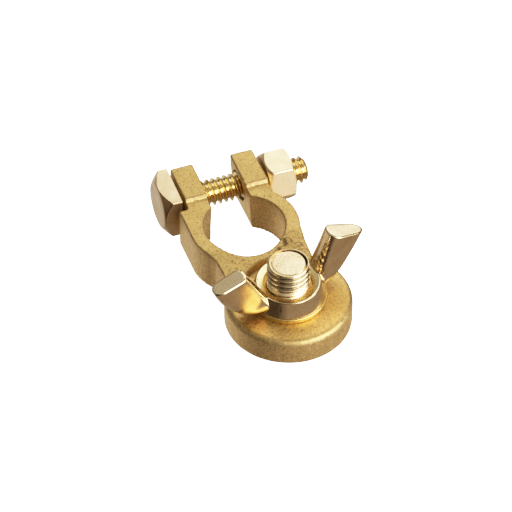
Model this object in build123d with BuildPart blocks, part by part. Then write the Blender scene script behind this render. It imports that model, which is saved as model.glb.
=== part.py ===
"""Battery-post terminal clamp in brass, with a threaded stud and wing nut for a second cable.

Frame: origin on the post-bore axis at the underside of the clamp, +X along the clamp bolt
(square head at -X, hex nut at +X), +Y from the stud pad towards the jaw ears, +Z up.
All lengths are in millimetres.
"""

import os

from build123d import *

# ---- driving dimensions -------------------------------------------------------------
# Clamp ring and post bore
ring_radius = 12.5
ring_height = 10.0
bore_radius = 9.1

# Jaw ears and the gap between them
ear_height = 11.05
ear_back = 21.75
ear_front = 11.05
left_ear_top = 10.15
left_ear_foot = 10.9
right_ear_top = 9.8
right_ear_foot = 10.4
gap_left_front = 4.95
gap_left_back = 4.6
gap_right_front = 4.05
gap_right_back = 4.2
gap_draft = 0.6
shoulder_reach = 12.45
shoulder_back = 9.0
corner_round = 0.6

# Clamp bolt (1/4 inch) with square head, and its hex nut
bolt_y = 16.25
bolt_z = 6.05
bolt_radius = 3.175
bolt_end = 20.8
bolt_point = 0.7
bolt_hole_radius = 3.6
head_flats = 11.06
head_thickness = 4.15
head_face_radius = 5.2
head_flare = 5.4
head_turn = 4.0
nut_flats = 11.11
nut_thickness = 6.25
nut_face_radius = 5.45
nut_corner_drop = 0.55
nut_turn = 10.0
thread_clearance = 0.05
seating_gap = 0.1

# Stud pad and the neck that joins it to the ring
pad_x = 2.38
pad_y = -21.42
pad_radius = 14.2
pad_height = 6.6
pad_rim_round = 1.4
pad_foot_round = 0.4
neck_outline = [
    (-10.7, -6.4),
    (-9.8, -8.2),
    (-9.35, -11.7),
    (-9.1, -14.6),
    (9.4, -14.6),
    (11.0, -13.5),
    (11.45, -12.4),
    (11.3, -8.5),
    (11.6, -5.8),
    (11.7, -4.4),
    (0, 0),
]
slope_start = -5.5
neck_slope = 0.26
seat_radius = 10.5
seat_flare = 0.5

# Raised plus sign, the polarity mark
plus_x = 7.4
plus_y = -9.6
plus_length = 5.2
plus_width = 1.35
plus_relief = 0.45

# Terminal stud (3/8 inch), washer and wing nut
stud_radius = 4.7625
stud_top = 17.0
stud_foot = 0.3
stud_point = 0.9
stud_groove_radius = 4.2
stud_groove_width = 0.6
stud_groove_rise = 0.1
washer_radius = 8.55
washer_hole_radius = 5.0
washer_thickness = 1.15
hub_foot_radius = 8.4
hub_top_radius = 7.1
hub_height = 3.85
countersink_radius = 6.6
countersink_depth = 1.3
wing_angle = 11.8
wing_thickness = 3.4
# Outlines of the two blades above the hub's foot: (distance from the stud, height).
# They share their lower edge; the blade towards the nut stands a little more upright.
wing_lower_edge = [(5.4, 2.8), (5.4, 0.45), (8.8, 0.45), (10.8, 0.95), (13.4, 2.5)]
right_wing_edge = [(16.6, 5.7), (18.6, 8.0), (19.5, 9.3), (19.2, 9.8),
                   (10.5, 13.4), (9.8, 13.0), (8.5, 9.1), (7.1, 5.8), (6.4, 4.0)]
left_wing_edge = [(16.9, 6.3), (18.5, 8.8), (19.3, 10.0), (19.1, 10.45),
                  (11.6, 12.15), (11.0, 11.8), (9.1, 8.4), (7.3, 5.2), (6.8, 3.6)]

far = 60.0

# ---- derived places -----------------------------------------------------------------
pad_plane = Plane((pad_x, pad_y, 0))
pad_section = Plane((pad_x, pad_y, 0), x_dir=(1, 0, 0), z_dir=(0, -1, 0))
stud_axis = Axis((pad_x, pad_y, 0), (0, 0, 1))
bolt_axis = Plane((0, bolt_y, bolt_z), x_dir=(0, 1, 0), z_dir=(1, 0, 0))
hub_foot = pad_height + washer_thickness
hub_top = hub_foot + hub_height
head_inner_x = -left_ear_foot - seating_gap
head_outer_x = head_inner_x - head_thickness
nut_inner_x = right_ear_foot + seating_gap
nut_outer_x = nut_inner_x + nut_thickness

os.makedirs("parts", exist_ok=True)


def finish(builder, name):
    """Label a finished piece and write its STEP file."""
    builder.part.label = name
    export_step(builder.part, f"parts/{name}.step")


# ---- clamp body: ring, jaws, neck and pad in one casting ------------------------------
slope_plane = Plane(
    (plus_x, plus_y, ring_height + neck_slope * (plus_y - slope_start)),
    x_dir=(1, 0, 0),
    z_dir=(0, -neck_slope, 1),
)
with BuildPart() as clamp_body:
    # Ring, left shoulder and neck
    with BuildSketch(Plane.XY):
        Circle(ring_radius)
        with BuildLine():
            Polyline(*neck_outline, close=True)
        make_face()
        with Locations((-shoulder_reach / 2, shoulder_back / 2)):
            Rectangle(shoulder_reach, shoulder_back)
    extrude(amount=ring_height)
    # The neck's top falls away towards the stud
    with BuildSketch(Plane.YZ.offset(-far)):
        with BuildLine():
            Polyline(
                (slope_start, ring_height),
                (slope_start, far),
                (-far, far),
                (-far, ring_height - neck_slope * (far + slope_start)),
                close=True,
            )
        make_face()
    extrude(amount=2 * far, mode=Mode.SUBTRACT)
    # Raised plus sign on the slope
    with BuildSketch(slope_plane.offset(-1)):
        Rectangle(plus_length, plus_width)
        Rectangle(plus_width, plus_length)
    extrude(amount=1 + plus_relief)
    # Round seat cut around the stud
    with BuildSketch(pad_section):
        with BuildLine():
            Polyline(
                (0, pad_height),
                (seat_radius, pad_height),
                (seat_radius + seat_flare, ring_height),
                (0, ring_height),
                close=True,
            )
        make_face()
    revolve(axis=stud_axis, mode=Mode.SUBTRACT)

    # Pad, with a rounded rim
    with BuildSketch(pad_section):
        with BuildLine():
            Line((0, 0), (pad_radius - pad_foot_round, 0))
            JernArc((pad_radius - pad_foot_round, 0), (1, 0), pad_foot_round, 90)
            Line((pad_radius, pad_foot_round), (pad_radius, pad_height - pad_rim_round))
            JernArc((pad_radius, pad_height - pad_rim_round), (0, 1), pad_rim_round, 90)
            Line((pad_radius - pad_rim_round, pad_height), (0, pad_height))
            Line((0, pad_height), (0, 0))
        make_face()
    revolve(axis=stud_axis)

    # Jaws, seen from the front, with draft on their outer faces
    with BuildSketch(Plane.XZ):
        with BuildLine():
            Polyline(
                (-left_ear_foot, 0),
                (-left_ear_top, ear_height),
                (right_ear_top, ear_height),
                (right_ear_foot, 0),
                close=True,
            )
        make_face()
    extrude(amount=-ear_back)
    # Hollow round step from the ears down to the ring
    ear_rise = ear_height - ring_height
    with BuildSketch(Plane.YZ.offset(-far)):
        with BuildLine():
            Line((0, ring_height), (ear_front - ear_rise, ring_height))
            JernArc((ear_front - ear_rise, ring_height), (1, 0), ear_rise, 90)
            Polyline((ear_front, ear_height), (ear_front, far), (0, far), (0, ring_height))
        make_face()
    extrude(amount=2 * far, mode=Mode.SUBTRACT)

    # Gap between the jaws: narrower at the back, wider at the foot
    for height, widening in ((-1, gap_draft), (ear_height + 1, 0)):
        with BuildSketch(Plane.XY.offset(height)):
            with BuildLine():
                Polyline(
                    (-gap_left_front - widening, 0),
                    (-gap_left_back - widening, ear_back + 1),
                    (gap_right_back + widening, ear_back + 1),
                    (gap_right_front + widening, 0),
                    close=True,
                )
            make_face()
    loft(mode=Mode.SUBTRACT)

    # Post bore
    with BuildSketch(Plane.XY):
        Circle(bore_radius)
    extrude(amount=ring_height, mode=Mode.SUBTRACT)

    # Bolt holes through both ears, and the stud's hole through the pad
    with BuildSketch(bolt_axis.offset(-far)):
        Circle(bolt_hole_radius)
    extrude(amount=2 * far, mode=Mode.SUBTRACT)
    with BuildSketch(pad_plane.offset(-1)):
        Circle(stud_radius)
    extrude(amount=pad_height + 2, mode=Mode.SUBTRACT)

    # Softened corners of the ears, the pad-side edges stay as cast
    back_corners = clamp_body.edges().filter_by(
        lambda e: abs(e.center().Y - ear_back) < 0.01 and abs(e.center().Z - ear_height / 2) < 1
    )
    fillet(back_corners, radius=corner_round)
finish(clamp_body, "clamp_body")

# ---- terminal stud --------------------------------------------------------------------
with BuildPart() as terminal_stud:
    with BuildSketch(pad_plane.offset(stud_foot)):
        Circle(stud_radius)
    extrude(amount=stud_top - stud_foot)
    chamfer(terminal_stud.edges().group_by(Axis.Z)[-1], length=stud_point)
    # One groove, just above the wing nut, marks where the stud's free end begins
    with BuildSketch(pad_plane.offset(hub_top + stud_groove_rise)):
        Circle(stud_radius)
        Circle(stud_groove_radius, mode=Mode.SUBTRACT)
    extrude(amount=stud_groove_width, mode=Mode.SUBTRACT)
finish(terminal_stud, "terminal_stud")

# ---- flat washer ----------------------------------------------------------------------
with BuildPart() as flat_washer:
    with BuildSketch(pad_plane.offset(pad_height)):
        Circle(washer_radius)
        Circle(washer_hole_radius, mode=Mode.SUBTRACT)
    extrude(amount=washer_thickness)
finish(flat_washer, "flat_washer")

# ---- wing nut: conical hub and two blades that rise outwards ---------------------------
blade_direction = Vector(1, 0, 0).rotate(Axis.Z, wing_angle)
blade_normal = Vector(0, -1, 0).rotate(Axis.Z, wing_angle)
blade_plane = Plane((pad_x, pad_y, hub_foot), x_dir=blade_direction, z_dir=blade_normal)
with BuildPart() as wing_nut:
    with BuildSketch(pad_section):
        with BuildLine():
            Polyline(
                (0, hub_foot),
                (hub_foot_radius, hub_foot),
                (hub_top_radius, hub_top),
                (countersink_radius, hub_top),
                (stud_radius, hub_top - countersink_depth),
                (0, hub_top - countersink_depth),
                close=True,
            )
        make_face()
    revolve(axis=stud_axis)
    with BuildSketch(blade_plane):
        with BuildLine():
            Polyline(*wing_lower_edge, *right_wing_edge, close=True)
        make_face()
        with BuildLine():
            Polyline(*[(-x, y) for x, y in wing_lower_edge + left_wing_edge], close=True)
        make_face()
    extrude(amount=wing_thickness / 2, both=True)
    with BuildSketch(pad_plane.offset(hub_foot - 1)):
        Circle(stud_radius + thread_clearance)
    extrude(amount=hub_height + 2, mode=Mode.SUBTRACT)
finish(wing_nut, "wing_nut")

# ---- clamp bolt: square head with a turned face, and a plain shank -------------------------
with BuildPart() as clamp_bolt:
    with BuildSketch(bolt_axis.offset(head_outer_x)):
        Rectangle(head_flats, head_flats, rotation=head_turn)
    extrude(amount=head_thickness)
    with BuildSketch(bolt_axis.offset(head_outer_x)):
        Circle(head_face_radius)
    with BuildSketch(bolt_axis.offset(head_inner_x)):
        Circle(head_face_radius + head_flare)
    loft(mode=Mode.INTERSECT)
    with BuildSketch(bolt_axis.offset(head_inner_x)):
        Circle(bolt_radius)
    extrude(amount=bolt_end - head_inner_x)
    chamfer(clamp_bolt.edges().group_by(Axis.X)[-1], length=bolt_point)
finish(clamp_bolt, "clamp_bolt")

# ---- clamp nut: hexagon, chamfered on both faces ----------------------------------------
nut_corner_radius = nut_flats / 3**0.5
nut_section = Plane((nut_inner_x, bolt_y, bolt_z), x_dir=(1, 0, 0), z_dir=(0, -1, 0))
with BuildPart() as clamp_nut:
    with BuildSketch(bolt_axis.offset(nut_inner_x)):
        RegularPolygon(nut_flats / 2, 6, major_radius=False, rotation=nut_turn)
    extrude(amount=nut_thickness)
    with BuildSketch(nut_section):
        with BuildLine():
            Polyline(
                (0, 0),
                (0, nut_face_radius),
                (nut_corner_drop, nut_corner_radius),
                (nut_thickness - nut_corner_drop, nut_corner_radius),
                (nut_thickness, nut_face_radius),
                (nut_thickness, 0),
                close=True,
            )
        make_face()
    revolve(axis=Axis((0, bolt_y, bolt_z), (1, 0, 0)), mode=Mode.INTERSECT)
    with BuildSketch(bolt_axis.offset(nut_inner_x)):
        Circle(bolt_radius + thread_clearance)
    extrude(amount=nut_thickness, mode=Mode.SUBTRACT)
finish(clamp_nut, "clamp_nut")
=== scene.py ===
import math

import bmesh
import bpy
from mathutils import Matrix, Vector, noise


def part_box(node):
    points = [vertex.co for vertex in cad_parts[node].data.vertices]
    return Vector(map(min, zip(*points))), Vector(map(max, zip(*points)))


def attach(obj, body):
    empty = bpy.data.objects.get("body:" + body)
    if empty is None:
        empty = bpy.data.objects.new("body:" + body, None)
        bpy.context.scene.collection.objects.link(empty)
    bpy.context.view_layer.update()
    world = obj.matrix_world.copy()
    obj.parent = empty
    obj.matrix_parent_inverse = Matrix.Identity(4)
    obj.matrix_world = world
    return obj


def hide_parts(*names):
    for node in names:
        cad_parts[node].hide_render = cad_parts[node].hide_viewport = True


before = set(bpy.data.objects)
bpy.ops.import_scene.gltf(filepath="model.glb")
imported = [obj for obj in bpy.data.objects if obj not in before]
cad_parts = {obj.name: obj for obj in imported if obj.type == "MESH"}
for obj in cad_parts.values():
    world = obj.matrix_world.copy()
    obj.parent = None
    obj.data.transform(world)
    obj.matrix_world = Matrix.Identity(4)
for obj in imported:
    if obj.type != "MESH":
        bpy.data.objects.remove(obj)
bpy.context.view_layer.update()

MM = 0.001
INCH = 25.4 * MM
MERGE = 1e-7  # points nearer than this, in metres, are one point
POLYGON_STEPS = 240  # points around the bolt's head and the hexagon nut
X, Y, Z = Vector((1, 0, 0)), Vector((0, 1, 0)), Vector((0, 0, 1))


# ---- sizes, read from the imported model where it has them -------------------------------

def box(node):
    """Lowest and highest corner of a CAD node."""
    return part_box(node)


body_low = box("clamp_body")[0]
stud_low, stud_high = box("terminal_stud")
washer_low, washer_high = box("flat_washer")
wing_low = box("wing_nut")[0]
bolt_low, bolt_high = box("clamp_bolt")
nut_low, nut_high = box("clamp_nut")

stud_axis = (stud_low + stud_high) / 2
stud_axis.z = 0
stud_radius = (stud_high.x - stud_low.x) / 2
stud_thread_depth = 0.42  # the depths are shares of the pitch
bolt_radius = INCH / 8
bolt_thread_depth = 0.6
thread_pitch = INCH / 18
bolt_axis = Vector((0, (bolt_low.y + bolt_high.y) / 2, (bolt_low.z + bolt_high.z) / 2))
nut_flats = 11.11 * MM
nut_turn = math.radians(10)
head_flats = 11.06 * MM
head_turn = math.radians(4)
head_thickness = 4.15 * MM
head_inner_x = bolt_low.x + head_thickness
wing_angle = math.radians(11.8)
hub_foot = wing_low.z
hub_top = hub_foot + 3.85 * MM
hub_radius = 8.4 * MM
ring_height = 10.0 * MM
bore_radius = 9.1 * MM
bore_taper = 0.4 * MM  # how much larger the bore's radius is at its foot than at its top


# ---- small mesh tools ------------------------------------------------------------------

def new_piece(name, mesh, body, node, material, smooth_angle=None):
    """Links a finished mesh as a piece that rides on a body and stands for a CAD node."""
    obj = bpy.data.objects.new(name, mesh)
    bpy.context.scene.collection.objects.link(obj)
    for m in material if isinstance(material, list) else [material]:
        mesh.materials.append(m)
    mesh.shade_smooth()
    if smooth_angle:
        mesh.set_sharp_from_angle(angle=math.radians(smooth_angle))
    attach(obj, body)
    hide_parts(node)
    return obj


def mesh_from(name, bm):
    """Turns a bmesh into a clean closed mesh."""
    bmesh.ops.remove_doubles(bm, verts=bm.verts, dist=MERGE)
    bmesh.ops.dissolve_degenerate(bm, edges=bm.edges, dist=MERGE)
    bmesh.ops.recalc_face_normals(bm, faces=bm.faces)
    mesh = bpy.data.meshes.new(name)
    bm.to_mesh(mesh)
    bm.free()
    return mesh


def add_rings(bm, rings, cap_start=True, cap_end=True):
    """Skins closed rings of equal length; an end that is wanted is closed with a fan."""
    rows = [[bm.verts.new(p) for p in ring] for ring in rings]
    count = len(rows[0])
    for a, b in zip(rows, rows[1:]):
        for i in range(count):
            j = (i + 1) % count
            bm.faces.new((a[i], a[j], b[j], b[i]))
    for row, wanted in ((rows[0], cap_start), (rows[-1], cap_end)):
        if wanted:
            middle = bm.verts.new(sum((v.co for v in row), Vector()) / count)
            for i in range(count):
                bm.faces.new((row[i], row[(i + 1) % count], middle))


def around(origin, along, across, radius, angle):
    """A point at a radius and angle about the axis 'along'; 'across' is angle zero."""
    return origin + radius * (math.cos(angle) * across + math.sin(angle) * along.cross(across))


def circle(centre, along, across, radius, steps):
    """A closed ring of points about an axis."""
    return [around(centre, along, across, radius, 2 * math.pi * i / steps) for i in range(steps)]


def rounded(outline, radius, steps=5):
    """Rounds the corners of an open outline with short curves; its two ends stay."""
    most = 0.45  # the share of a side that one corner's curve may take up
    out = [outline[0]]
    for before, corner, after in zip(outline, outline[1:], outline[2:]):
        a, c, b = Vector(before), Vector(corner), Vector(after)
        reach_a = min(radius, (a - c).length * most)
        reach_b = min(radius, (b - c).length * most)
        start, end = c + (a - c).normalized() * reach_a, c + (b - c).normalized() * reach_b
        for k in range(steps + 1):
            t = k / steps
            point = start * (1 - t) ** 2 + c * 2 * t * (1 - t) + end * t ** 2
            out.append(tuple(point))
    out.append(outline[-1])
    return out


def thread_depth(share, depth):
    """How far the surface lies under the crest, at a share of one pitch from the crest."""
    crest, flank, straight = 0.035, 0.385, 0.55
    away = abs((share + 0.5) % 1.0 - 0.5)
    t = min(max((away - crest) / flank, 0.0), 1.0)
    soft = t * t * (3 - 2 * t)
    return depth * (straight * t + (1 - straight) * soft)


def threaded_rod(bm, origin, along, across, radius, length, bevel, depth, steps, dish=()):
    """A right-hand helical thread with a bevelled far end, as one closed surface. The bevel is
    (how much narrower the end is, how fast it widens from there), the depth a share of the
    pitch."""
    rows_per_pitch = 14
    same_height = 1e-6
    pitch = thread_pitch
    inset, slope = bevel

    def surface(reach, angle):
        under = thread_depth(reach / pitch - angle / (2 * math.pi), depth * pitch)
        return min(radius - under, radius - inset + (length - reach) * slope)

    # The rows follow the helix, so they run past both ends and are held back to them.
    first, last = -rows_per_pitch - 1, int(length / pitch * rows_per_pitch) + 2
    grid = {}
    for row in range(first, last + rows_per_pitch + 1):
        for i in range(steps):
            angle = 2 * math.pi * i / steps
            reach = min(max(pitch * (row / rows_per_pitch + i / steps), 0.0), length)
            grid[row, i] = bm.verts.new(around(origin + reach * along, along, across,
                                               surface(reach, angle), angle))
    for row in range(first, last):
        for i in range(steps):
            a, b = (row, i), (row + 1, i)
            if i + 1 < steps:
                c, d = (row + 1, i + 1), (row, i + 1)
            else:
                c, d = (row + 1 + rows_per_pitch, 0), (row + rows_per_pitch, 0)
            bm.faces.new((grid[a], grid[d], grid[c], grid[b]))
    bmesh.ops.delete(bm, geom=[v for v in bm.verts if not v.link_faces], context="VERTS")
    bmesh.ops.remove_doubles(bm, verts=bm.verts, dist=MERGE)
    bmesh.ops.dissolve_degenerate(bm, edges=bm.edges, dist=MERGE)
    for reach in (0.0, length):
        rim = [e for e in bm.edges if e.is_boundary
               and all(abs((v.co - origin).dot(along) - reach) < same_height for v in e.verts)]
        if reach and dish:
            dish_end(bm, rim, origin, along, across, length, dish)
        else:
            bmesh.ops.edgeloop_fill(bm, edges=rim)


def dish_end(bm, rim, origin, along, across, length, dish):
    """Closes a rod's end with rings of (radius, depth, extra depth where the thread starts)."""
    thread_start, spread = math.radians(35), 1.5

    def turn_of(v):
        out = v.co - origin
        return math.atan2(out.dot(along.cross(across)), out.dot(across))

    row = sorted({v for e in rim for v in e.verts}, key=turn_of)
    turns = [turn_of(v) for v in row]
    count = len(row)
    for radius, sunk, extra in dish:
        fresh = []
        for turn in turns:
            share = max(0.0, math.cos((turn - thread_start) / spread)) ** 2
            centre = origin + (length - sunk - extra * share) * along
            fresh.append(bm.verts.new(around(centre, along, across, radius, turn)))
        for i in range(count):
            j = (i + 1) % count
            bm.faces.new((row[i], row[j], fresh[j], fresh[i]))
        row = fresh
    bm.faces.new(row)


def mark_grooves(mesh, origin, along, radius, depth, shade_start, end):
    """Stores how deep each point lies in the thread, from 0 at the crest to 1 at the root, for
    painted shade in the grooves.
    The grooves are unshaded up to 'shade_start', the shade fades in just past it and stops at
    'end'."""
    fade = 1.5 * MM
    groove = mesh.attributes.new("groove", "FLOAT", "POINT")
    for v, item in zip(mesh.vertices, groove.data):
        offset = v.co - origin
        reach = offset.dot(along)
        out = (offset - along * reach).length
        shaded = min(max((reach - shade_start) / fade, 0.0), 1.0)
        inside = reach < end and out < radius
        item.value = shaded * min((radius - out) / depth, 1.0) if inside else 0.0


def flats_radius(angle, flats, sides, turn, corner):
    """Distance to the side of a regular polygon whose corners are slightly rounded."""
    step = 2 * math.pi / sides
    local = (angle - turn + step / 2) % step - step / 2
    inner = flats / 2
    sharp = inner / math.cos(local)
    half_side = inner * math.tan(step / 2)
    limit = half_side - corner * math.tan(step / 2)
    across = inner * math.tan(local)
    if abs(across) <= limit:
        return sharp
    centre = Vector((inner - corner, math.copysign(limit, across)))
    ray = Vector((math.cos(local), math.sin(local)))
    b = ray.dot(centre)
    return b + math.sqrt(max(b * b - centre.length_squared + corner * corner, 0.0))


def polygon_rings(origin, flats, sides, turn, corner, profile):
    """Rings of a turned and chamfered prism along +X. Each profile entry is
    (distance along X, widest radius there)."""
    rings = []
    for reach, widest in profile:
        ring = []
        for i in range(POLYGON_STEPS):
            angle = 2 * math.pi * i / POLYGON_STEPS
            r = min(flats_radius(angle, flats, sides, turn, corner), widest)
            ring.append(around(origin + reach * X, X, Y, r, angle))
        rings.append(ring)
    return rings


def remesh_smooth(mesh, voxel, passes):
    """Rebuilds a mesh on an even grid and relaxes it, which rounds its edges as a casting's are."""
    obj = bpy.data.objects.new("remesh_helper", mesh)
    bpy.context.scene.collection.objects.link(obj)
    grid = obj.modifiers.new("grid", "REMESH")
    grid.mode = "VOXEL"
    grid.voxel_size = voxel
    relax = obj.modifiers.new("relax", "SMOOTH")
    relax.factor = 0.5
    relax.iterations = passes
    depsgraph = bpy.context.evaluated_depsgraph_get()
    out = bpy.data.meshes.new_from_object(obj.evaluated_get(depsgraph))
    bpy.data.objects.remove(obj)
    return out


# ---- materials -------------------------------------------------------------------------

class Nodes:
    """Short-hand for building one node material."""

    def __init__(self, name):
        self.material = bpy.data.materials.new(name)
        self.material.use_nodes = True
        self.tree = self.material.node_tree
        self.shader = self.tree.nodes["Principled BSDF"]
        self.place = self.add("ShaderNodeTexCoord").outputs["Object"]

    def add(self, kind, **settings):
        """A new node with these settings."""
        node = self.tree.nodes.new(kind)
        for key, value in settings.items():
            setattr(node, key, value)
        return node

    def link(self, source, target):
        """Joins an output to an input."""
        self.tree.links.new(source, target)

    def stretched(self, scale):
        """Object coordinates scaled along each axis; a small scale draws a texture out there."""
        node = self.add("ShaderNodeMapping")
        node.inputs["Scale"].default_value = scale
        self.link(self.place, node.inputs["Vector"])
        return node.outputs["Vector"]

    def noise(self, size, detail=3.0, rough=0.55, vector=None):
        """Noise whose lumps are about 'size' metres across, from 0 to 1."""
        node = self.add("ShaderNodeTexNoise")
        node.inputs["Scale"].default_value = 1.0 / size
        node.inputs["Detail"].default_value = detail
        node.inputs["Roughness"].default_value = rough
        self.link(vector or self.place, node.inputs["Vector"])
        return node.outputs["Fac"]

    def span(self, value, low, high, to_low=0.0, to_high=1.0):
        """Maps one range of values onto another, and holds it there outside that range."""
        node = self.add("ShaderNodeMapRange")
        for key, number in (("From Min", low), ("From Max", high),
                            ("To Min", to_low), ("To Max", to_high)):
            node.inputs[key].default_value = number
        self.link(value, node.inputs["Value"])
        return node.outputs["Result"]

    def math(self, kind, a, b):
        """Sum, product or the like of two outputs or numbers."""
        node = self.add("ShaderNodeMath", operation=kind)
        for socket, value in zip(node.inputs, (a, b)):
            if isinstance(value, (int, float)):
                socket.default_value = value
            else:
                self.link(value, socket)
        return node.outputs[0]

    def mix(self, share, a, b, blend="MIX"):
        """Mixes two colours by a share from 0 to 1; at 0 it is the first."""
        node = self.add("ShaderNodeMix", data_type="RGBA", blend_type=blend)
        for socket, value in zip((node.inputs[0], node.inputs[6], node.inputs[7]), (share, a, b)):
            if isinstance(value, (int, float)):
                socket.default_value = value
            elif isinstance(value, tuple):
                socket.default_value = (*value, 1.0)
            else:
                self.link(value, socket)
        return node.outputs[2]

    def bump(self, heights):
        """Chains bumps; each entry is (height, strength, depth in metres)."""
        last = None
        for height, strength, depth in heights:
            node = self.add("ShaderNodeBump")
            node.inputs["Strength"].default_value = strength
            node.inputs["Distance"].default_value = depth
            self.link(height, node.inputs["Height"])
            if last:
                self.link(last, node.inputs["Normal"])
            last = node.outputs["Normal"]
        self.link(last, self.shader.inputs["Normal"])

    def facing(self, axis):
        """How far the surface faces along one axis, from -1 to 1."""
        geometry = self.add("ShaderNodeNewGeometry")
        split = self.add("ShaderNodeSeparateXYZ")
        self.link(geometry.outputs["Normal"], split.inputs[0])
        return split.outputs[axis]

    def height(self):
        """Height over the floor, in metres."""
        split = self.add("ShaderNodeSeparateXYZ")
        self.link(self.place, split.inputs[0])
        return split.outputs["Z"]

    def finish(self, colour, rough):
        """Sets the metal's colour and roughness and returns the material."""
        self.link(colour, self.shader.inputs["Base Color"])
        self.link(rough, self.shader.inputs["Roughness"])
        self.shader.inputs["Metallic"].default_value = 1.0
        return self.material


def cast_brass():
    """Sand-cast brass: dull satin, sandy grain, small dark pits, dark edges and painted shade in
    its creases;
    lighter on its sides, partly with painted light, and lighter low down with painted light."""
    n = Nodes("cast_brass")
    broad = n.noise(6 * MM, 3)
    grain = n.noise(0.42 * MM, 4, 0.7)
    fine = n.noise(0.16 * MM, 2, 0.6)
    pits = n.span(n.noise(0.55 * MM, 2, 0.5), 0.585, 0.655)
    streaks = n.noise(0.5 * MM, 4, 0.6, n.stretched((1.0, 1.0, 0.16)))
    # The sides get a lighter colour than the tops. This is partly the cast skin's own tone and
    # partly painted light that lifts the sides.
    top = n.mix(n.span(broad, 0.3, 0.7), (0.52, 0.345, 0.115), (0.62, 0.42, 0.152))
    side = n.mix(n.span(streaks, 0.3, 0.7), (0.70, 0.515, 0.215), (0.84, 0.635, 0.305))
    upward = n.span(n.facing("Z"), 0.35, 0.8)
    colour = n.mix(upward, side, top)
    # Everything below about 7 mm is made lighter. This is painted light standing in for the white
    # floor's reflection on the low parts.
    high = n.span(n.height(), 7.0 * MM, 9.5 * MM)
    floor_lit_colour = n.mix(1.0, colour, (1.22, 1.19, 1.17), "MULTIPLY")
    colour = n.mix(high, floor_lit_colour, colour)
    dark_grain = n.mix(1.0, colour, (0.70, 0.65, 0.56), "MULTIPLY")
    colour = n.mix(n.span(grain, 0.38, 0.62), dark_grain, colour)
    pitted = n.math("MULTIPLY", pits, n.span(upward, 0, 1, 0.25, 0.7))
    colour = n.mix(pitted, colour, (0.20, 0.12, 0.05))
    bend = n.add("ShaderNodeNewGeometry").outputs["Pointiness"]
    edge = n.span(bend, 0.504, 0.52, 0.0, 0.6)
    # Darkening in concave creases, on upward faces, is painted shade; the dark lines on convex
    # edges are the casting's dark edges.
    crease = n.span(bend, 0.492, 0.47, 0.0, 0.75)
    marked = n.math("MULTIPLY", n.math("MAXIMUM", edge, crease), n.span(n.facing("Z"), 0.1, 0.35))
    colour = n.mix(marked, colour, (0.20, 0.125, 0.05))
    rough = n.math("ADD", n.span(n.math("ADD", grain, fine), 0.7, 1.3, 0.33, 0.48),
                   n.span(upward, 0, 1, 0.10, 0.0))
    n.bump([(grain, 0.8, 0.08 * MM), (fine, 0.6, 0.03 * MM), (pits, -0.8, 0.06 * MM),
            (streaks, 0.2, 0.04 * MM)])
    return n.finish(colour, rough)


def worked_brass(name, light, deep, roughness, scuff=0.35, scuff_depth=0.012 * MM,
                 edge_dark_reflection=0.0, crease_shade=0.0, groove_shade=0.0, flecks=0.0):
    """Drawn, turned or tumbled brass: fine scuffs, faint clouding and a little tarnish. The last
    four are how strongly the painted dark reflection on convex edges, the painted shade in creases,
    the painted shade in thread grooves and the dark flecks show, from 0 to 1."""
    n = Nodes(name)
    clouds = n.noise(3.2 * MM, 4, 0.6)
    scuffs = n.noise(0.28 * MM, 3, 0.6, n.stretched((1.0, 0.35, 0.8)))
    fine = n.noise(0.09 * MM, 2, 0.5)
    colour = n.mix(n.span(clouds, 0.32, 0.68), light, deep)
    spots = n.span(n.noise(0.5 * MM, 2), 0.68, 0.78)
    colour = n.mix(n.math("MULTIPLY", spots, 0.35), colour, (0.32, 0.20, 0.09))
    bend = n.add("ShaderNodeNewGeometry").outputs["Pointiness"]
    # Dark lines on convex edges: a painted dark reflection of the rounded edges.
    if edge_dark_reflection:
        colour = n.mix(n.span(bend, 0.515, 0.54, 0.0, edge_dark_reflection), colour, (0.24, 0.14, 0.06))
    # Darkening in concave creases is painted shade.
    if crease_shade:
        colour = n.mix(n.span(bend, 0.49, 0.44, 0.0, crease_shade), colour, (0.13, 0.075, 0.03))
    # Darkening in the thread grooves is painted shade standing in for their dark reflections.
    if groove_shade:
        groove = n.add("ShaderNodeAttribute", attribute_name="groove").outputs["Fac"]
        share = n.math("MULTIPLY", n.span(groove, 0.06, 0.42), n.span(scuffs, 0.3, 0.7, 0.75, 1.0))
        colour = n.mix(n.math("MULTIPLY", share, groove_shade), colour, (0.06, 0.033, 0.012))
    if flecks:
        colour = n.mix(n.span(scuffs, 0.43, 0.34, 0.0, flecks), colour, (0.34, 0.21, 0.09))
    rough = n.span(n.math("ADD", clouds, scuffs), 0.7, 1.3, *roughness)
    n.bump([(scuffs, scuff, scuff_depth), (fine, 0.2, 0.004 * MM)])
    return n.finish(colour, rough)


cast = cast_brass()
thread_bolt = worked_brass("bolt_thread", (0.94, 0.74, 0.37), (0.84, 0.61, 0.26), (0.10, 0.22),
                           0.2, groove_shade=0.2)
thread_stud = worked_brass("stud_thread", (0.90, 0.68, 0.38), (0.74, 0.52, 0.25), (0.2, 0.32),
                           0.5, 0.03 * MM, groove_shade=0.9)
stud_face = worked_brass("stud_top", (0.82, 0.64, 0.38), (0.66, 0.48, 0.26), (0.16, 0.30),
                         1.0, 0.1 * MM, flecks=0.6)
head_brass = worked_brass("bolt_head", (0.67, 0.51, 0.30), (0.55, 0.40, 0.21), (0.34, 0.44))
# The head's turned cone uses a darker copy of the head's brass. Its smoother finish is real; its
# darker colour is painted shade.
shaded_bevel_brass = worked_brass("head_bevel", (0.54, 0.38, 0.19), (0.42, 0.28, 0.13), (0.12, 0.22))
nut_brass = worked_brass("nut_brass", (0.95, 0.74, 0.44), (0.86, 0.63, 0.34), (0.26, 0.36))
wing_brass = worked_brass("wing_brass", (0.88, 0.70, 0.41), (0.72, 0.52, 0.27), (0.09, 0.22),
                          0.25, edge_dark_reflection=0.85, crease_shade=0.35)
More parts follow.
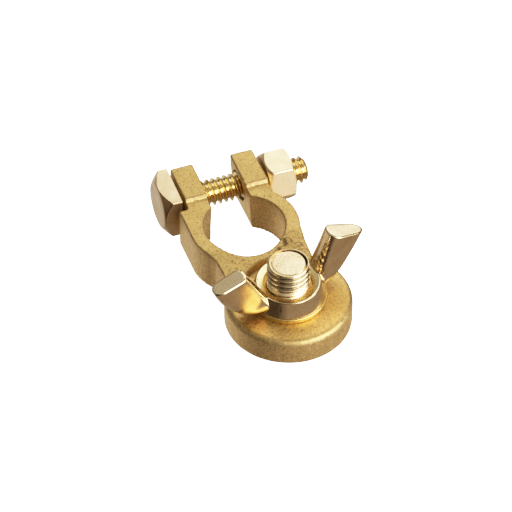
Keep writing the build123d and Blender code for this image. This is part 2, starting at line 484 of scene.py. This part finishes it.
# The countersink uses a brighter, more golden copy of the wing nut's brass. This is painted light
# for the gold light bouncing inside it.
lit_countersink_brass = worked_brass("hub_countersink", (1.0, 0.82, 0.40), (0.95, 0.75, 0.32), (0.24, 0.34),
                         0.25)
washer_brass = worked_brass("washer_brass", (0.84, 0.62, 0.25), (0.72, 0.50, 0.18), (0.2, 0.32))


# ---- clamp body ------------------------------------------------------------------------

def cast_body():
    """The casting, with edges rounded as sand leaves them and a slightly uneven skin."""
    bm = bmesh.new()
    bm.from_mesh(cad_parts["clamp_body"].data)
    weld, voxel, passes = 0.002 * MM, 0.22 * MM, 3
    bmesh.ops.remove_doubles(bm, verts=bm.verts, dist=weld)
    mesh = bpy.data.meshes.new("clamp_body_closed")
    bm.to_mesh(mesh)
    bm.free()
    out = remesh_smooth(mesh, voxel, passes)
    bore_wall = bore_radius + 0.15 * MM
    wave, wave_height, ripple, ripple_height = 2.4 * MM, 0.03 * MM, 0.7 * MM, 0.018 * MM
    normals = [v.normal.copy() for v in out.vertices]
    for v, normal in zip(out.vertices, normals):
        reach = math.hypot(v.co.x, v.co.y)
        if reach < bore_wall:
            widening = bore_taper * (1 - v.co.z / ring_height)
            v.co.x *= 1 + widening / reach
            v.co.y *= 1 + widening / reach
        swell = noise.noise(v.co / wave) * wave_height + noise.noise(v.co / ripple) * ripple_height
        v.co += normal * (swell - wave_height)
        v.co.z = max(v.co.z, body_low.z)
    return new_piece("cast_clamp", out, "clamp", "clamp_body", cast)


cast_body()


# ---- clamp bolt and nut ----------------------------------------------------------------

def bolt_piece():
    """The bolt: a square head, turned to a cone on its outer side, and a threaded shank that
    reaches a little way into it."""
    bm = bmesh.new()
    origin = Vector((bolt_low.x, bolt_axis.y, bolt_axis.z))
    thick, widening = head_thickness / MM, 5.4
    slope = widening / thick
    # (distance from the outer face, widest radius there) in millimetres; 9 is past the corners
    profile = [(0.0, 0.6), (0.0, 3.0), (0.0, 4.9), (0.03, 5.12), (0.1, 5.3)]
    cone_start, cone_radius, cone_stop, rows = 0.1, 5.2, 0.12, 40
    for k in range(1, rows + 1):
        reach = cone_start + (thick - cone_start - cone_stop) * k / rows
        profile.append((reach, cone_radius + slope * reach))
    profile += [(thick - 0.05, 9.0), (thick, 9.0)]
    profile = [(reach * MM, radius * MM) for reach, radius in profile]
    corner_round = 0.35 * MM
    add_rings(bm, polygon_rings(origin, head_flats, 4, head_turn, corner_round, profile))

    shank = bmesh.new()
    into_head, end_bevel = 0.3 * MM, (1.0 * MM, 1.2)
    start = origin + (head_thickness - into_head) * X
    length = bolt_high.x - start.x
    threaded_rod(shank, start, X, Y, bolt_radius, length, end_bevel, bolt_thread_depth, steps=96)
    helper = bpy.data.meshes.new("shank")
    shank.to_mesh(helper)
    shank.free()

    mesh = mesh_from("bolt_mesh", bm)
    both = bmesh.new()
    both.from_mesh(mesh)
    head_faces = len(both.faces)
    bevel_lean, lean_margin = math.sin(math.atan(1 / slope)), 0.3
    bevel_end = head_inner_x - 0.2 * MM
    for face in both.faces:
        leans = abs(face.normal.x + bevel_lean) < lean_margin
        if leans and face.calc_center_median().x < bevel_end:
            face.material_index = 2
    both.from_mesh(helper)
    both.faces.ensure_lookup_table()
    for face in both.faces[head_faces:]:
        face.material_index = 1
    bmesh.ops.recalc_face_normals(both, faces=both.faces)
    both.to_mesh(mesh)
    both.free()
    # The shank's grooves carry painted shade from its start to just short of its end.
    mark_grooves(mesh, start, X, bolt_radius, bolt_thread_depth * thread_pitch,
                 -2.0 * MM, length - 0.9 * MM)
    return new_piece("square_head_bolt", mesh, "bolt", "clamp_bolt",
                     [head_brass, thread_bolt, shaded_bevel_brass], 30)


def nut_piece():
    """The hexagon nut, chamfered at both ends and more deeply towards the bolt's head. Its bore
    narrows from both mouths inwards and so closes on the bolt's thread."""
    bm = bmesh.new()
    origin = Vector((nut_low.x, bolt_axis.y, bolt_axis.z))
    length = nut_high.x - nut_low.x
    corner = nut_flats / math.sqrt(3)
    face_radius, chamfer = 5.45 * MM, 0.55 * MM
    deep_radius, deep_chamfer = face_radius - 0.15 * MM, 1.1 * MM
    bore = bolt_radius + 0.05 * MM
    mouth, crest_radius = 0.6 * MM, bore - 0.25 * MM
    steps = 16
    profile = [(0.0, bore)]
    for k in range(steps + 1):
        share = k / steps
        profile.append((deep_chamfer * share, deep_radius + (corner - deep_radius) * share))
    for k in range(steps + 1):
        share = k / steps
        profile.append((length - chamfer * (1 - share), corner - (corner - face_radius) * share))
    profile.append((length, bore))
    corner_round = 0.25 * MM
    rings = polygon_rings(origin, nut_flats, 6, nut_turn + math.pi / 6, corner_round, profile)
    rings.insert(0, circle(origin + mouth * X, X, Y, crest_radius, POLYGON_STEPS))
    rings.append(circle(origin + (length - mouth) * X, X, Y, crest_radius, POLYGON_STEPS))
    add_rings(bm, rings + [rings[0]], False, False)
    return new_piece("hex_nut", mesh_from("nut_mesh", bm), "nut", "clamp_nut",
                     nut_brass, 35)


bolt_piece()
nut_piece()


# ---- terminal stud, washer and wing nut ------------------------------------------------

# Rings of the stud's end, from its rim inwards: (radius, depth, extra depth where the thread
# starts) in millimetres.
STUD_END = [
    (4.22, 0.0, 0.0),
    (4.10, 0.05, 0.05),
    (3.98, 0.2, 0.45),
    (3.86, 0.24, 0.6),
    (3.76, 0.22, 0.45),
    (3.64, 0.14, 0.1),
    (3.52, 0.12, 0.0),
]


def stud_piece():
    """The threaded stud, with a dished end and painted shade in its grooves above the wing nut."""
    bm = bmesh.new()
    origin = Vector((stud_axis.x, stud_axis.y, stud_low.z))
    length = stud_high.z - stud_low.z
    end_bevel = (0.42 * MM, 0.75)
    dish = [tuple(size * MM for size in ring) for ring in STUD_END]
    threaded_rod(bm, origin, Z, X, stud_radius, length, end_bevel, stud_thread_depth,
                 steps=160, dish=dish)
    mesh = mesh_from("stud_mesh", bm)
    groove_shade_start, groove_shade_end = hub_top - stud_low.z - 0.2 * MM, length - 0.5 * MM
    mark_grooves(mesh, origin, Z, stud_radius, stud_thread_depth * thread_pitch,
                 groove_shade_start, groove_shade_end)
    level, end_zone = 0.99, stud_high.z - 0.2 * MM
    for face in mesh.polygons:
        if face.normal.z > level and face.center.z > end_zone:
            face.material_index = 1
    return new_piece("threaded_stud", mesh, "clamp", "terminal_stud",
                     [thread_stud, stud_face], 26)


def washer_piece():
    """The flat washer, with rounded edges and a hole wider than the stud."""
    bm = bmesh.new()
    inner, outer = 5.0 * MM, (washer_high.x - washer_low.x) / 2
    thick = washer_high.z - washer_low.z
    corners = [(inner, thick / 2), (inner, 0), (outer, 0), (outer, thick), (inner, thick),
               (inner, thick / 2)]
    edge_round, steps = 0.25 * MM, 128
    origin = Vector((stud_axis.x, stud_axis.y, washer_low.z))
    rings = [circle(origin + reach * Z, Z, X, radius, steps)
             for radius, reach in rounded(corners, edge_round)]
    add_rings(bm, rings, False, False)
    return new_piece("round_washer", mesh_from("washer_mesh", bm), "washer",
                     "flat_washer", washer_brass, 50)


# Each blade: its inner and outer edge at five stations from the hub to the cap, as (distance
# from the stud's axis, height) in millimetres, its thickness there, and how strongly its outer
# edge thins towards the cap.
LOWER_INNER = [(4.4, 10.4), (6.5, 11.5)]
RIGHT_BLADE = {
    "inner": LOWER_INNER + [(7.1, 13.6), (8.5, 17.3), (9.9, 21.0)],
    "outer": [(6.2, 8.25), (9.6, 8.4), (13.1, 10.3), (16.4, 13.9), (19.1, 17.65)],
    "thick": [7.0, 6.6, 6.0, 5.4, 5.2],
    "taper": 0.42,
}
LEFT_BLADE = {
    "inner": LOWER_INNER + [(7.4, 13.1), (9.1, 16.2), (11.2, 19.7)],
    "outer": [(6.2, 7.95), (9.8, 8.0), (13.4, 9.4), (17.0, 13.4), (19.3, 18.0)],
    "thick": [6.8, 6.3, 5.2, 4.5, 4.3],
    "taper": 0.1,
}


def smooth_along(points, share):
    """Catmull-Rom value of a list of numbers or vectors at a share of its length."""
    place = share * (len(points) - 1)
    k = min(int(place), len(points) - 2)
    t = place - k
    p1, p2 = points[k], points[k + 1]
    p0 = points[k - 1] if k else p1 * 2 - p2
    p3 = points[k + 2] if k + 2 < len(points) else p2 * 2 - p1
    return (p1 * 2 + (p2 - p0) * t + (p0 * 2 - p1 * 5 + p2 * 4 - p3) * t * t
            + (p1 * 3 - p0 - p2 * 3 + p3) * t ** 3) * 0.5


def rounded_section(half_width, half_thick, corner, taper, steps=9):
    """Outline of a flat bar's section: a rectangle with round corners that thins to one side."""
    thin_from = 0.2  # it starts to thin this share of the half width before its middle
    points = []
    for sign_u, sign_v, start in ((1, 1, 0), (-1, 1, 90), (-1, -1, 180), (1, -1, 270)):
        for k in range(steps):
            turn = math.radians(start + 90 * k / (steps - 1))
            u = sign_u * (half_width - corner) + corner * math.cos(turn)
            v = sign_v * (half_thick - corner) + corner * math.sin(turn)
            thin = 1 - taper * max(0.0, u / half_width + thin_from) ** 2
            points.append((u, v * thin))
    return points


def blade(bm, angle, shape):
    """One wing: sections between its inner and outer edges, thicker towards the hub, with a
    rounded cap."""
    outward = Vector((math.cos(angle), math.sin(angle), 0))
    sideways = Z.cross(outward)
    inner = [Vector(p) for p in shape["inner"]]
    outer = [Vector(p) for p in shape["outer"]]
    sections, cap_sections, cap_start, cap_round = 44, 4, 0.985, 0.55
    widest_corner, corner_share = 2.2, 0.85
    rings = []

    def ring(share, shrink=0.0, lift=0.0):
        a, b = smooth_along(inner, share), smooth_along(outer, share)
        middle, half = (a + b) / 2, (b - a) / 2
        along = half.normalized()
        rise = Vector((-along.y, along.x))
        thick = smooth_along(shape["thick"], share) / 2
        corner = min(widest_corner, thick * corner_share) - shrink
        points = []
        for u, v in rounded_section(half.length - shrink, thick - shrink, corner,
                                    shape["taper"] * share):
            flat = middle + along * u + rise * lift
            points.append(stud_axis + (outward * flat.x + Z * flat.y + sideways * v) * MM)
        return points

    for k in range(sections + 1):
        rings.append(ring(k / sections * cap_start))
    for k in range(1, cap_sections + 1):
        turn = math.radians(90 * k / cap_sections)
        rings.append(ring(cap_start, cap_round * (1 - math.cos(turn)), cap_round * math.sin(turn)))
    add_rings(bm, rings)


def wing_nut_piece():
    """The wing nut: a conical hub with a countersink and a bore, and two unequal wings."""
    bm = bmesh.new()
    origin = Vector((stud_axis.x, stud_axis.y, hub_foot))
    bore = stud_radius + 0.05 * MM
    tall = hub_top - hub_foot
    sink = tall - 1.0 * MM
    steps = 160
    # (radius, height) round the hub's section: bore, foot, cone, rim and countersink
    outline = [(bore, sink), (bore, 0.0), (hub_radius, 0.0), (7.15 * MM, tall), (6.75 * MM, tall),
               (5.6 * MM, tall - 0.4 * MM), (bore, sink)]
    add_rings(bm, [circle(origin + reach * Z, Z, X, radius, steps) for radius, reach in outline],
              False, False)
    bmesh.ops.remove_doubles(bm, verts=bm.verts, dist=MERGE)
    blade(bm, wing_angle, RIGHT_BLADE)
    blade(bm, wing_angle + math.pi, LEFT_BLADE)
    mesh = bpy.data.meshes.new("wing_blocks")
    bmesh.ops.recalc_face_normals(bm, faces=bm.faces)
    bm.to_mesh(mesh)
    bm.free()
    voxel, passes = 0.13 * MM, 10
    out = remesh_smooth(mesh, voxel, passes)
    # The even grid leaves the bore's wall uneven, so its points are put back on the bore.
    near_bore = bore + 0.2 * MM
    for v in out.vertices:
        away = math.hypot(v.co.x - stud_axis.x, v.co.y - stud_axis.y)
        if away < near_bore and v.co.z < hub_foot + sink:
            v.co.x = stud_axis.x + (v.co.x - stud_axis.x) * bore / away
            v.co.y = stud_axis.y + (v.co.y - stud_axis.y) * bore / away
    rim_radius, foot, rim = 6.7 * MM, hub_foot + 0.5 * MM, hub_top - 0.06 * MM
    for face in out.polygons:
        reach = face.center - stud_axis
        if math.hypot(reach.x, reach.y) < rim_radius and foot < reach.z < rim:
            face.material_index = 1
    return new_piece("wing_nut_forged", out, "wing_nut", "wing_nut",
                     [wing_brass, lit_countersink_brass])


stud_piece()
washer_piece()
wing_nut_piece()


# ---- floor, light and camera -------------------------------------------------------------

def stage_floor():
    """A glowing white sheet just under the part, which the metal doesn't mirror."""
    mesh = bpy.data.meshes.new("floor")
    half, height = 0.6, -0.1 * MM
    corners = [(x * half, y * half, height) for x, y in ((-1, -1), (1, -1), (1, 1), (-1, 1))]
    mesh.from_pydata(corners, [], [(0, 1, 2, 3)])
    floor = bpy.data.objects.new("floor", mesh)
    bpy.context.scene.collection.objects.link(floor)
    material = bpy.data.materials.new("floor_white")
    material.use_nodes = True
    shader = material.node_tree.nodes["Principled BSDF"]
    shader.inputs["Base Color"].default_value = (0.9, 0.9, 0.9, 1)
    shader.inputs["Roughness"].default_value = 0.9
    shader.inputs["Specular IOR Level"].default_value = 0.0
    shader.inputs["Emission Color"].default_value = (1, 1, 1, 1)
    shader.inputs["Emission Strength"].default_value = 3.2
    mesh.materials.append(material)
    floor.visible_glossy = False


def softbox(name, place, aim, size, power):
    """A white rectangular light that the camera doesn't see."""
    light = bpy.data.lights.new(name, "AREA")
    light.shape = "RECTANGLE"
    light.size, light.size_y = size
    light.energy = power
    obj = bpy.data.objects.new(name, light)
    bpy.context.scene.collection.objects.link(obj)
    obj.location = place
    obj.rotation_euler = (Vector(aim) - Vector(place)).to_track_quat("-Z", "Y").to_euler()
    obj.visible_camera = False


def studio_world():
    """What the metal mirrors. Behind on the left it is bright below and dark grey above. In front
    on the left it is nearly black. Elsewhere it is warm and dim below, dark above the horizon and
    white high up."""
    world = bpy.data.worlds.new("studio")
    bpy.context.scene.world = world
    world.use_nodes = True
    tree = world.node_tree
    split = tree.nodes.new("ShaderNodeSeparateXYZ")
    tree.links.new(tree.nodes.new("ShaderNodeTexCoord").outputs["Generated"], split.inputs[0])

    def span(axis, low, high):
        """How far a direction lies between two values along an axis."""
        node = tree.nodes.new("ShaderNodeMapRange")
        node.inputs["From Min"].default_value = low
        node.inputs["From Max"].default_value = high
        tree.links.new(split.outputs[axis], node.inputs["Value"])
        return node.outputs["Result"]

    def ramp(stops):
        """Colours from straight down (0) to straight up (1)."""
        node = tree.nodes.new("ShaderNodeValToRGB")
        while len(node.color_ramp.elements) < len(stops):
            node.color_ramp.elements.new(0.5)
        for element, (spot, colour) in zip(node.color_ramp.elements, stops):
            element.position = spot
            element.color = (*colour, 1)
        tree.links.new(span("Z", -1, 1), node.inputs["Fac"])
        return node.outputs["Color"]

    front = ramp([
        (0.0, (0.36, 0.28, 0.22)),
        (0.30, (0.37, 0.29, 0.23)),
        (0.48, (0.36, 0.29, 0.23)),
        (0.57, (0.13, 0.11, 0.09)),
        (0.68, (0.14, 0.13, 0.12)),
        (0.76, (0.40, 0.39, 0.37)),
        (0.86, (0.95, 0.93, 0.90)),
        (1.0, (0.50, 0.50, 0.49)),
    ])
    back = ramp([
        (0.0, (0.60, 0.55, 0.50)),
        (0.25, (1.05, 1.00, 0.96)),
        (0.45, (0.70, 0.66, 0.62)),
        (0.53, (0.26, 0.25, 0.24)),
        (0.75, (0.32, 0.31, 0.30)),
        (1.0, (0.55, 0.55, 0.54)),
    ])
    mix = tree.nodes.new("ShaderNodeMix")
    mix.data_type = "RGBA"
    share = tree.nodes.new("ShaderNodeMath")
    share.operation = "MULTIPLY"
    tree.links.new(span("Y", 0.0, 0.6), share.inputs[0])
    tree.links.new(span("X", 0.2, -0.15), share.inputs[1])
    tree.links.new(share.outputs[0], mix.inputs[0])
    tree.links.new(front, mix.inputs[6])
    tree.links.new(back, mix.inputs[7])
    shade = tree.nodes.new("ShaderNodeMath")
    shade.operation = "MULTIPLY"
    tree.links.new(span("X", -0.35, -0.75), shade.inputs[0])
    tree.links.new(span("Y", 0.15, -0.2), shade.inputs[1])
    left = tree.nodes.new("ShaderNodeMix")
    left.data_type = "RGBA"
    left.inputs[7].default_value = (0.07, 0.05, 0.04, 1)
    tree.links.new(shade.outputs[0], left.inputs[0])
    tree.links.new(mix.outputs[2], left.inputs[6])
    tree.links.new(left.outputs[2], tree.nodes["Background"].inputs["Color"])
    tree.nodes["Background"].inputs["Strength"].default_value = 1.0


def camera():
    """The photo's camera: a long lens in front and to the left, looking down."""
    turn, lift, away = math.radians(-20.34), math.radians(44.76), 0.6
    target = Vector((0.29, -6.66, 6.0)) * MM
    level = math.cos(lift)
    back = Vector((math.sin(turn) * level, -math.cos(turn) * level, math.sin(lift)))
    data = bpy.data.cameras.new("camera")
    data.sensor_width = 36
    data.lens = 189.43
    data.clip_start, data.clip_end = 0.01, 10
    obj = bpy.data.objects.new("camera", data)
    bpy.context.scene.collection.objects.link(obj)
    obj.location = target + back * away
    obj.rotation_euler = (-back).to_track_quat("-Z", "Y").to_euler()
    bpy.context.scene.camera = obj


def film_response():
    """A soft shoulder, as film has, so that bright brass turns cream and not flat yellow."""
    view = bpy.context.scene.view_settings
    view.view_transform = "Standard"
    view.use_curve_mapping = True
    curves = view.curve_mapping
    brightest = 3.0
    curves.white_level = (brightest,) * 3
    shoulder = curves.curves[3]
    shoulder.points[-1].location = (1.0, 1.0)
    bends = [(0.15, 0.15), (0.3, 0.3), (0.5, 0.48), (0.8, 0.68), (1.2, 0.84), (1.8, 0.94)]
    for light, shown in bends:
        shoulder.points.new(light / brightest, shown)
    curves.update()


stage_floor()
studio_world()
softbox("behind_right", (0.31, 0.37, 0.405), (0, 0, 0), (0.56, 0.60), 1.88)
softbox("front_right", (0.385, -0.428, 0.26), (0, 0, 0), (0.66, 0.46), 6.0)
softbox("front_low", (0.12, -0.58, 0.09), (0, 0, 0.02), (0.40, 0.17), 0.3)
softbox("front_high", (0.175, -0.483, 0.469), (0, 0, 0), (0.40, 0.18), 1.8)
camera()
film_response()
